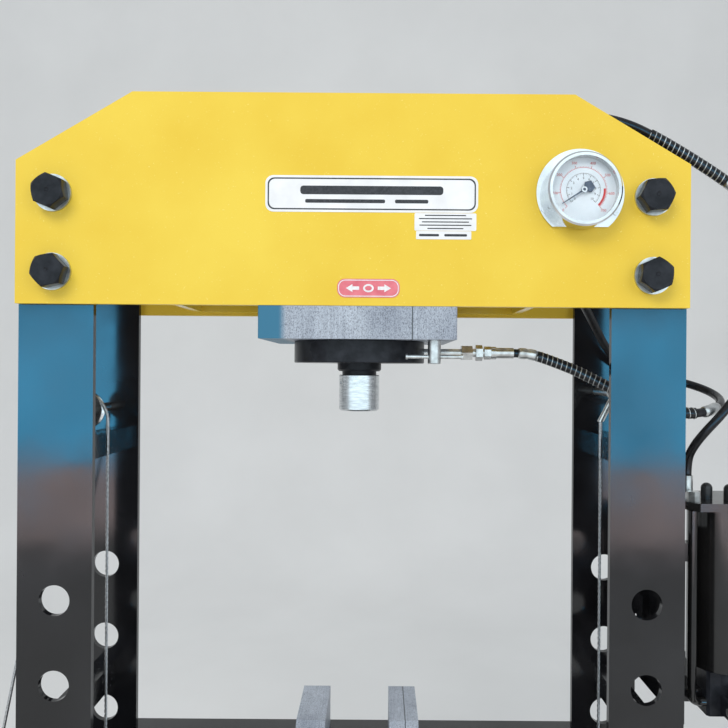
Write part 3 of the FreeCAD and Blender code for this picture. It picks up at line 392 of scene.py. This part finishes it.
def bar(x, z, width, height):
    """A printed bar with rounded corners, in place of lettering."""
    return prism(outline(width / 2, height / 2, height * 0.35, 3), x, z, FACE_Y, INK)


label_films = group("label_films", [
    prism(outline(0.160, 0.0275, 0.012), NAME_X, NAME_Z, LABEL_Y, FILM),
    prism(outline(0.0465, 0.0132, 0.002), DATA_X, DATA_Z, LABEL_Y, FILM),
    prism(outline(0.0415, 0.0062, 0.001), RATING_X, RATING_Z, LABEL_Y, FILM),
])
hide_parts("front_labels")
dark_marks = [
    frame_shape(outline(0.1565, 0.0240, 0.010), outline(0.1545, 0.0220, 0.009),
                NAME_X, NAME_Z, FACE_Y, INK),
    bar(NAME_X, NAME_Z + 0.0055, 0.215, 0.013),
    bar(NAME_X - 0.040, NAME_Z - 0.0110, 0.120, 0.0055),
    bar(NAME_X + 0.060, NAME_Z - 0.0110, 0.050, 0.0055),
]
thin_marks = [bar(DATA_X, DATA_Z + 0.0098 - 0.0049 * i, width, 0.0016)
              for i, width in enumerate((0.062, 0.080, 0.071, 0.078, 0.054))]
thin_marks += [bar(RATING_X - 0.022, RATING_Z, 0.030, 0.0036),
               bar(RATING_X + 0.018, RATING_Z, 0.034, 0.0036)]
label_marks = group("label_marks", dark_marks + thin_marks)

arrow = [(0.014, -0.0026), (0.024, -0.0026), (0.024, -0.006), (0.034, 0.0), (0.024, 0.006),
         (0.024, 0.0026), (0.014, 0.0026)]
oval_film = group("oval_sticker", [prism(outline(0.047, 0.014, 0.0115), OVAL_X, OVAL_Z, LABEL_Y, FILM)])
oval_marks = group("oval_marks", [
    frame_shape(outline(0.0455, 0.0126, 0.0105), outline(0.0443, 0.0114, 0.0095), OVAL_X, OVAL_Z,
                FACE_Y, INK),
    frame_shape(ellipse(0.0080, 0.0062), ellipse(0.0052, 0.0036), OVAL_X, OVAL_Z, FACE_Y, INK),
    prism(arrow, OVAL_X, OVAL_Z, FACE_Y, INK),
    prism([(-x, -z) for x, z in arrow], OVAL_X, OVAL_Z, FACE_Y, INK),
])


def sector(inner, outer, start, end):
    """A flat arc band about the gauge's centre, angles in degrees anticlockwise from the right."""
    steps = max(2, int(abs(end - start) / 4))
    angles = [math.radians(start + (end - start) * k / steps) for k in range(steps + 1)]
    shape = [(outer * math.cos(a), outer * math.sin(a)) for a in angles]
    shape += [(inner * math.cos(a), inner * math.sin(a)) for a in reversed(angles)]
    return prism(shape, GAUGE_X, GAUGE_Z, DIAL_Y, DIAL_INK)


def ticks(count, inner, outer, width):
    """Marks that divide the whole scale into count parts."""
    shapes, w = [], width / 2
    for i in range(count + 1):
        a = math.radians(DIAL_START - DIAL_SWEEP * i / count)
        u, v = math.cos(a), math.sin(a)
        shape = [(inner * u + w * v, inner * v - w * u), (outer * u + w * v, outer * v - w * u),
                 (outer * u - w * v, outer * v + w * u), (inner * u - w * v, inner * v + w * u)]
        shapes.append(prism(shape, GAUGE_X, GAUGE_Z, DIAL_Y, DIAL_INK))
    return shapes


def numbers(name, values, radius, size):
    """Dial numbers evenly spaced round the dial, standing just in front of it."""
    points, faces = [], []
    for i, value in enumerate(values):
        text = bpy.data.curves.new("number", "FONT")
        text.body = str(value)
        text.size = size
        text.align_x = "CENTER"
        text.align_y = "CENTER"
        text.extrude = DIAL_INK / 2
        text.resolution_u = 2
        holder = link(bpy.data.objects.new("number", text))
        bpy.context.view_layer.update()
        mesh = bpy.data.meshes.new_from_object(holder)
        angle = math.radians(DIAL_START - DIAL_SWEEP * i / (len(values) - 1))
        offset = len(points)
        for v in mesh.vertices:
            points.append((GAUGE_X + radius * math.cos(angle) + v.co.x, DIAL_Y - DIAL_INK / 2 - v.co.z,
                           GAUGE_Z + radius * math.sin(angle) + v.co.y))
        faces += [tuple(k + offset for k in p.vertices) for p in mesh.polygons]
        bpy.data.objects.remove(holder)
        bpy.data.curves.remove(text)
        bpy.data.meshes.remove(mesh)
    return mesh_object(name, points, faces, smooth=False)


DIAL_END = DIAL_START - DIAL_SWEEP
red_ticks = group("dial_red_ticks", [
    sector(RED_SCALE - 0.0005, RED_SCALE, DIAL_END, DIAL_START),
    *ticks(7, RED_SCALE, RED_SCALE + 0.0038, 0.0007),
    *ticks(70, RED_SCALE, RED_SCALE + 0.0018, 0.0003),
    sector(RED_SCALE - 0.0040, RED_SCALE - 0.0010, DIAL_END, DIAL_END + 50),
])
black_ticks = group("dial_black_ticks", [
    sector(BLACK_SCALE, BLACK_SCALE + 0.0004, DIAL_END, DIAL_START),
    *ticks(10, BLACK_SCALE - 0.0038, BLACK_SCALE, 0.0007),
    *ticks(50, BLACK_SCALE - 0.0018, BLACK_SCALE, 0.0003),
])
red_numbers = numbers("dial_red_numbers", range(0, 800, 100), RED_SCALE + 0.0080, 0.0056)
black_numbers = numbers("dial_black_numbers", range(0, 11), BLACK_SCALE - 0.0070, 0.0050)
for piece in (label_films, label_marks, oval_film, oval_marks, red_ticks, black_ticks,
              red_numbers, black_numbers):
    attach(piece, "frame")
needle_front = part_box("gauge_needle")[0][1]
needle_hub = group("needle_hub", [frame_shape(
    ellipse(0.0042, 0.0042, 32), ellipse(0.0022, 0.0022, 32), GAUGE_X, GAUGE_Z, needle_front, 0.0005)])
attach(needle_hub, "needle")


# ---------------------------------------------------------------- finishes
class Finish:
    """A procedural material: colour, roughness and surface relief vary with place on the part."""

    def __init__(self, name, metallic=0.0, specular=0.5):
        self.material = bpy.data.materials.new(name)
        self.material.use_nodes = True
        self.tree = self.material.node_tree
        self.shader = self.tree.nodes["Principled BSDF"]
        self.shader.inputs["Metallic"].default_value = metallic
        self.shader.inputs["Specular IOR Level"].default_value = specular
        self.place = self.add("ShaderNodeTexCoord").outputs["Object"]

    def add(self, kind, **settings):
        """A new node with its settings."""
        node = self.tree.nodes.new(kind)
        for key, value in settings.items():
            setattr(node, key, value)
        return node

    def join(self, output, node, socket):
        """Links an output to one of a node's inputs."""
        self.tree.links.new(output, node.inputs[socket])

    def noise(self, scale, detail=4.0, stretch=(1.0, 1.0, 1.0)):
        """Noise over the part's own place."""
        mapping = self.add("ShaderNodeMapping")
        mapping.inputs["Scale"].default_value = stretch
        self.join(self.place, mapping, "Vector")
        node = self.add("ShaderNodeTexNoise")
        node.inputs["Scale"].default_value = scale
        node.inputs["Detail"].default_value = detail
        self.join(mapping.outputs["Vector"], node, "Vector")
        return node.outputs["Fac"]

    def ramp(self, value, stops):
        """Colours between stops of (position, colour)."""
        node = self.add("ShaderNodeValToRGB")
        elements = node.color_ramp.elements
        while len(elements) < len(stops):
            elements.new(0.5)
        for element, (position, colour) in zip(elements, stops):
            element.position = position
            element.color = (*colour, 1.0)
        self.join(value, node, "Fac")
        return node.outputs["Color"]

    def mix(self, factor, first, second):
        """A blend of two colours or outputs."""
        node = self.add("ShaderNodeMix", data_type="RGBA")
        self.join(factor, node, 0)
        for socket, value in ((6, first), (7, second)):
            if isinstance(value, tuple):
                node.inputs[socket].default_value = (*value, 1.0)
            else:
                self.join(value, node, socket)
        return node.outputs[2]

    def colour(self, output):
        """The base colour."""
        self.join(output, self.shader, "Base Color")
        return self

    def rough(self, low, high, scale=12.0, stretch=(1.0, 1.0, 1.0)):
        """Roughness that drifts between low and high."""
        node = self.add("ShaderNodeMapRange")
        self.join(self.noise(scale, 3.0, stretch), node, "Value")
        node.inputs["From Min"].default_value = 0.3
        node.inputs["From Max"].default_value = 0.7
        node.inputs["To Min"].default_value = low
        node.inputs["To Max"].default_value = high
        self.join(node.outputs["Result"], self.shader, "Roughness")
        return self

    def relief(self, scale, strength, depth=0.0002, detail=2.0, stretch=(1.0, 1.0, 1.0)):
        """Fine surface relief."""
        node = self.add("ShaderNodeBump")
        node.inputs["Strength"].default_value = strength
        node.inputs["Distance"].default_value = depth
        self.join(self.noise(scale, detail, stretch), node, "Height")
        self.join(node.outputs["Normal"], self.shader, "Normal")
        return self


def finish_of(name, dark, light, low, high, scale=10.0, relief=(300.0, 0.1), stretch=(1, 1, 1), **kind):
    """A finish whose colour drifts between dark and light."""
    f = Finish(name, **kind)
    f.colour(f.ramp(f.noise(scale, 5.0, stretch), ((0.35, dark), (0.65, light))))
    f.rough(low, high)
    f.relief(relief[0], relief[1], stretch=stretch)
    return f


looks = {}
yellow = Finish("yellow_paint", specular=0.30)
yellow.colour(yellow.mix(
    yellow.ramp(yellow.noise(420.0, 2.0), ((0.70, (0, 0, 0)), (0.76, (1, 1, 1)))),
    yellow.ramp(yellow.noise(5.0, 4.0), ((0.35, (0.80, 0.55, 0.045)), (0.65, (0.86, 0.63, 0.070)))),
    (0.95, 0.78, 0.22),
))
looks["yellow_paint"] = yellow.rough(0.30, 0.48, 6.0).relief(160.0, 0.12)
looks["black_paint"] = finish_of("black_paint", (0.006, 0.006, 0.007), (0.014, 0.014, 0.016), 0.07, 0.16,
                                 6.0, (90.0, 0.05), specular=0.5)
looks["black_steel"] = finish_of("black_steel", (0.008, 0.009, 0.012), (0.022, 0.024, 0.030), 0.20, 0.40,
                                 60.0, (420.0, 0.25), specular=0.18)
looks["tank_black"] = finish_of("tank_black", (0.006, 0.006, 0.006), (0.014, 0.013, 0.013), 0.10, 0.20,
                                8.0, (70.0, 0.08), specular=0.5)
looks["zinc"] = finish_of("zinc", (0.46, 0.46, 0.45), (0.72, 0.73, 0.72), 0.25, 0.42,
                          90.0, (500.0, 0.15), metallic=1.0)
looks["bright_steel"] = finish_of("bright_steel", (0.55, 0.57, 0.58), (0.80, 0.82, 0.83), 0.18, 0.32,
                                  70.0, (900.0, 0.12), (1, 1, 6), metallic=1.0)
looks["spring_steel"] = finish_of("spring_steel", (0.10, 0.10, 0.11), (0.26, 0.26, 0.27), 0.25, 0.40,
                                  120.0, (500.0, 0.15), metallic=0.9)
looks["polished_steel"] = finish_of("polished_steel", (0.60, 0.60, 0.60), (0.76, 0.76, 0.76), 0.10, 0.20,
                                    30.0, (700.0, 0.04), metallic=1.0)
looks["gauge_body"] = finish_of("gauge_body", (0.42, 0.42, 0.42), (0.60, 0.60, 0.60), 0.25, 0.40,
                                60.0, (500.0, 0.10), metallic=1.0)
looks["dial_white"] = finish_of("dial_white", (0.80, 0.86, 0.90), (0.86, 0.92, 0.96), 0.35, 0.50,
                                40.0, (900.0, 0.03))
looks["needle_black"] = finish_of("needle_black", (0.07, 0.10, 0.15), (0.12, 0.16, 0.22), 0.3, 0.45,
                                  200.0, (900.0, 0.05))
looks["label_film"] = finish_of("label_film", (0.78, 0.79, 0.80), (0.88, 0.89, 0.90), 0.25, 0.4,
                                30.0, (300.0, 0.04))
looks["hose_rubber"] = finish_of("hose_rubber", (0.008, 0.008, 0.009), (0.018, 0.018, 0.020), 0.24, 0.36,
                                 150.0, (700.0, 0.12), specular=0.3)
looks["wire_rope"] = finish_of("wire_rope", (0.30, 0.30, 0.31), (0.60, 0.61, 0.62), 0.25, 0.42,
                               400.0, (900.0, 0.25), metallic=1.0)
looks["lever_tube"] = finish_of("lever_tube", (0.008, 0.008, 0.009), (0.018, 0.018, 0.020), 0.14, 0.26,
                                10.0, (120.0, 0.06))
looks["grip_rubber"] = finish_of("grip_rubber", (0.012, 0.012, 0.012), (0.030, 0.030, 0.030), 0.55, 0.75,
                                 120.0, (260.0, 0.45))
looks["knob_plastic"] = finish_of("knob_plastic", (0.38, 0.020, 0.016), (0.55, 0.035, 0.028), 0.25, 0.40,
                                  40.0, (400.0, 0.08))

# Sawn steel: fine upright saw lines, dark speckle, a painted blue reflection over the left end and one
# dark line near the right.
sawn = Finish("sawn_steel", metallic=0.08, specular=0.4)
lines = sawn.ramp(sawn.noise(22.0, 6.0, (30.0, 1.0, 0.6)),
                  ((0.30, (0.40, 0.44, 0.50)), (0.70, (0.54, 0.59, 0.66))))
specks = sawn.ramp(sawn.noise(760.0, 4.0, (1.0, 1.0, 0.6)), ((0.46, (0, 0, 0)), (0.70, (1, 1, 1))))
speckled = sawn.mix(specks, lines, (0.17, 0.18, 0.21))
axes = sawn.add("ShaderNodeSeparateXYZ")
sawn.join(sawn.place, axes, "Vector")
seam = sawn.add("ShaderNodeMath", operation="COMPARE")
seam.inputs[1].default_value = 0.0905
seam.inputs[2].default_value = 0.0009
sawn.join(axes.outputs["X"], seam, 0)
shade = sawn.ramp(sawn.noise(9.0, 3.0, (1.6, 1.0, 0.8)),
                  ((0.35, (0.55, 0.56, 0.60)), (0.65, (1.0, 1.0, 1.0))))
shaded = sawn.add("ShaderNodeMix", data_type="RGBA", blend_type="MULTIPLY")
shaded.inputs[0].default_value = 0.7
sawn.join(speckled, shaded, 6)
sawn.join(shade, shaded, 7)
# Painted reflection: the left end of the slab is tinted blue in its colour, standing in for the sky
# mirrored there.
painted_reflection_patch = sawn.add("ShaderNodeMapRange", interpolation_type="SMOOTHSTEP")
painted_reflection_patch.inputs["From Min"].default_value = -0.098
painted_reflection_patch.inputs["From Max"].default_value = -0.112
sawn.join(axes.outputs["X"], painted_reflection_patch, "Value")
with_painted_reflection = sawn.mix(painted_reflection_patch.outputs["Result"], shaded.outputs[2], (0.035, 0.16, 0.26))
sawn.colour(sawn.mix(seam.outputs["Value"], with_painted_reflection, (0.08, 0.09, 0.10)))
looks["sawn_steel"] = sawn.rough(0.34, 0.52, 60.0, (30.0, 1.0, 1.0)).relief(
    40.0, 0.35, stretch=(30.0, 1.0, 1.0))

# Clear gauge window.
lens = Finish("lens_glass", specular=0.5)
lens.colour(lens.ramp(lens.noise(20.0), ((0.3, (0.93, 0.96, 0.98)), (0.7, (1.0, 1.0, 1.0)))))
lens.shader.inputs["Transmission Weight"].default_value = 1.0
lens.shader.inputs["IOR"].default_value = 1.03
looks["lens_glass"] = lens.rough(0.01, 0.05, 30.0)

# Spatter beside the welds on the post spacers; the plates inside the head are yellow like it.
spatter = Finish("welded_paint", specular=0.4)
spatter_black = spatter.mix(
    spatter.ramp(spatter.noise(190.0, 2.0), ((0.68, (0, 0, 0)), (0.72, (1, 1, 1)))),
    spatter.ramp(spatter.noise(6.0), ((0.35, (0.006, 0.006, 0.007)), (0.65, (0.015, 0.015, 0.017)))),
    (0.20, 0.20, 0.21),
)
head_yellow = spatter.ramp(spatter.noise(5.0), ((0.35, (0.80, 0.55, 0.045)), (0.65, (0.86, 0.63, 0.070))))
heights = spatter.add("ShaderNodeSeparateXYZ")
spatter.join(spatter.place, heights, "Vector")
in_head = spatter.add("ShaderNodeMath", operation="GREATER_THAN")
in_head.inputs[1].default_value = 1.479
spatter.join(heights.outputs["Z"], in_head, 0)
spatter.colour(spatter.mix(in_head.outputs["Value"], spatter_black, head_yellow))
spatter.rough(0.10, 0.24).relief(190.0, 0.35, 0.0006)

red_ink = finish_of("red_ink", (0.52, 0.02, 0.02), (0.68, 0.04, 0.04), 0.35, 0.5, 300.0, (600.0, 0.03))
black_ink = finish_of("black_ink", (0.012, 0.012, 0.014), (0.035, 0.035, 0.04), 0.35, 0.5, 300.0,
                      (600.0, 0.03))
pink_film = finish_of("pink_film", (0.66, 0.13, 0.17), (0.78, 0.20, 0.24), 0.3, 0.45, 60.0, (400.0, 0.04))
white_ink = finish_of("white_ink", (0.76, 0.74, 0.75), (0.88, 0.87, 0.87), 0.35, 0.5, 200.0, (600.0, 0.03))


# The breather caps in the middle of the lid are black; the bolts and outlet beside them are zinc.
capped = Finish("zinc_and_black_caps", specular=0.5)
cap_axes = capped.add("ShaderNodeSeparateXYZ")
capped.join(capped.place, cap_axes, "Vector")
is_cap = capped.add("ShaderNodeMath", operation="COMPARE")
is_cap.inputs[1].default_value = 0.6055
is_cap.inputs[2].default_value = 0.0380
capped.join(cap_axes.outputs["X"], is_cap, 0)
zinc_tone = capped.ramp(capped.noise(90.0), ((0.35, (0.46, 0.46, 0.45)), (0.65, (0.72, 0.73, 0.72))))
cap_tone = capped.ramp(capped.noise(60.0), ((0.35, (0.008, 0.008, 0.009)), (0.65, (0.020, 0.020, 0.022))))
capped.colour(capped.mix(is_cap.outputs["Value"], zinc_tone, cap_tone))
is_metal = capped.add("ShaderNodeMath", operation="SUBTRACT")
is_metal.inputs[0].default_value = 1.0
capped.join(is_cap.outputs["Value"], is_metal, 1)
capped.join(is_metal.outputs["Value"], capped.shader, "Metallic")
capped.rough(0.22, 0.38).relief(400.0, 0.12)


def paint(obj, look, slot):
    """Gives a piece its finish and its material slot."""
    obj.data.materials.clear()
    obj.data.materials.append(look.material)
    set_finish(obj, slot)


for entry in frame["record"]["subparts"]:
    node = nodes[entry["node"]]
    if not node.hide_render:
        paint(node, looks[entry["material_slot"]], entry["material_slot"])
paint(nodes["frame_spacers"], spatter, "black_paint")
paint(nodes["lid_fittings"], capped, "zinc")
for piece, look, slot in (
    (gauge_hose, looks["hose_rubber"], "hose_rubber"),
    (supply_hose, looks["hose_rubber"], "hose_rubber"),
    (gauge_guard, looks["hose_rubber"], "hose_rubber"),
    (supply_guard, looks["hose_rubber"], "hose_rubber"),
    (gauge_winding, looks["zinc"], "zinc"),
    (supply_winding, looks["zinc"], "zinc"),
    (needle_hub, looks["dial_white"], "dial_white"),
    (gauge_sleeve, looks["zinc"], "zinc"),
    (gauge_far_sleeve, looks["zinc"], "zinc"),
    (supply_sleeve, looks["zinc"], "zinc"),
    (rope_runs, looks["wire_rope"], "wire_rope"),
    (spring, looks["spring_steel"], "spring_steel"),
    (label_films, looks["label_film"], "label_film"),
    (label_marks, black_ink, "needle_black"),
    (oval_film, pink_film, "label_film"),
    (oval_marks, white_ink, "label_film"),
    (red_ticks, red_ink, "dial_white"),
    (red_numbers, red_ink, "dial_white"),
    (black_ticks, black_ink, "needle_black"),
    (black_numbers, black_ink, "needle_black"),
):
    paint(piece, look, slot)

# ---------------------------------------------------------------- floor, light and reflections
floor_look = Finish("floor", specular=0.3)
floor_look.colour(floor_look.ramp(floor_look.noise(1.5),
                                  ((0.3, (0.80, 0.795, 0.78)), (0.7, (0.85, 0.845, 0.83)))))
floor_look.rough(0.6, 0.8, 4.0)
FLOOR_FRONT, FLOOR_BACK, FLOOR_HALF, SWEEP_RADIUS, WALL_TOP = -16.0, 2.6, 16.0, 1.6, 6.0
sweep = [(FLOOR_FRONT, 0.0), (FLOOR_BACK, 0.0)]
sweep += [(FLOOR_BACK + SWEEP_RADIUS * math.sin(math.radians(a)),
           SWEEP_RADIUS * (1 - math.cos(math.radians(a)))) for a in range(6, 91, 6)]
sweep.append((FLOOR_BACK + SWEEP_RADIUS, WALL_TOP))
floor_points = [(x, y, z) for y, z in sweep for x in (-FLOOR_HALF, FLOOR_HALF)]
floor_faces = [(2 * i, 2 * i + 1, 2 * i + 3, 2 * i + 2) for i in range(len(sweep) - 1)]
floor = mesh_object("floor", floor_points, floor_faces)
floor.data.materials.append(floor_look.material)
floor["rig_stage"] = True


def glow(name, y, z_low, z_high, colour, strength, receivers):
    """A see-through upright card behind the camera that shows only in the reflections of some pieces."""
    card = mesh_object(name, [(-7, y, z_low), (7, y, z_low), (7, y, z_high), (-7, y, z_high)],
                       [(0, 1, 2, 3)], smooth=False)
    look = bpy.data.materials.new(name)
    look.use_nodes = True
    tree = look.node_tree
    tree.nodes.clear()
    emit = tree.nodes.new("ShaderNodeEmission")
    emit.inputs["Strength"].default_value = strength
    clouds = tree.nodes.new("ShaderNodeTexNoise")
    clouds.inputs["Scale"].default_value = 1.6
    clouds.inputs["Detail"].default_value = 5.0
    tree.links.new(tree.nodes.new("ShaderNodeTexCoord").outputs["Object"], clouds.inputs["Vector"])
    tones = tree.nodes.new("ShaderNodeValToRGB")
    tones.color_ramp.elements[0].position = 0.32
    tones.color_ramp.elements[0].color = (*(0.72 * c for c in colour), 1.0)
    tones.color_ramp.elements[1].position = 0.68
    tones.color_ramp.elements[1].color = (*(min(1.0, 1.22 * c) for c in colour), 1.0)
    tree.links.new(clouds.outputs["Fac"], tones.inputs["Fac"])
    tree.links.new(tones.outputs["Color"], emit.inputs["Color"])
    both = tree.nodes.new("ShaderNodeAddShader")
    out = tree.nodes.new("ShaderNodeOutputMaterial")
    tree.links.new(emit.outputs["Emission"], both.inputs[0])
    tree.links.new(tree.nodes.new("ShaderNodeBsdfTransparent").outputs["BSDF"], both.inputs[1])
    tree.links.new(both.outputs["Shader"], out.inputs["Surface"])
    card.data.materials.append(look)
    card.visible_camera = False
    card.visible_diffuse = False
    card.visible_shadow = False
    card.visible_transmission = False
    card.light_linking.receiver_collection = receivers
    card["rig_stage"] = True


# The gloss black paint mirrors a blue sky over brown ground; everything else sees a pale card.
mirrors = bpy.data.collections.new("gloss_black_pieces")
others = bpy.data.collections.new("other_pieces")
MIRROR_SLOTS = ("black_paint", "tank_black", "hose_rubber", "lever_tube")
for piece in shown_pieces():
    (mirrors if piece.get("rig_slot") in MIRROR_SLOTS else others).objects.link(piece)
NEAR_CARD, FAR_CARD, HORIZON_NEAR, HORIZON_FAR = -4.5, -9.0, 0.62, 0.016
glow("pale_card", NEAR_CARD + 0.1, 0.0, 6.0, (0.62, 0.80, 1.0), 1.15, others)
glow("sky_card", FAR_CARD, HORIZON_FAR, 2.35, (0.05, 0.46, 0.82), 9.4, mirrors)
glow("ground_card", NEAR_CARD, 0.02, HORIZON_NEAR, (0.82, 0.63, 0.62), 3.6, mirrors)


def lamp(name, place, target, size, energy, colour):
    """A soft lamp that aims at a target and doesn't show in reflections."""
    data = bpy.data.lights.new(name, "AREA")
    data.shape = "RECTANGLE"
    data.size = size[0]
    data.size_y = size[1]
    data.energy = energy
    data.color = colour
    obj = link(bpy.data.objects.new(name, data))
    obj.location = place
    obj.rotation_euler = (Vector(target) - Vector(place)).to_track_quat("-Z", "Y").to_euler()
    obj.visible_glossy = False
    obj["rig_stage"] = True


lamp("key", (-1.6, -3.4, 4.6), (0, 0, 1.2), (3.0, 2.2), 125.0, (1.0, 0.99, 0.97))
lamp("fill", (2.8, -2.6, 2.6), (0, 0, 1.2), (2.4, 2.4), 36.0, (0.95, 0.98, 1.0))

world = bpy.data.worlds.new("studio")
world.use_nodes = True
world.node_tree.nodes["Background"].inputs["Color"].default_value = (0.88, 0.94, 1.0, 1.0)
world.node_tree.nodes["Background"].inputs["Strength"].default_value = 0.62
scene.world = world
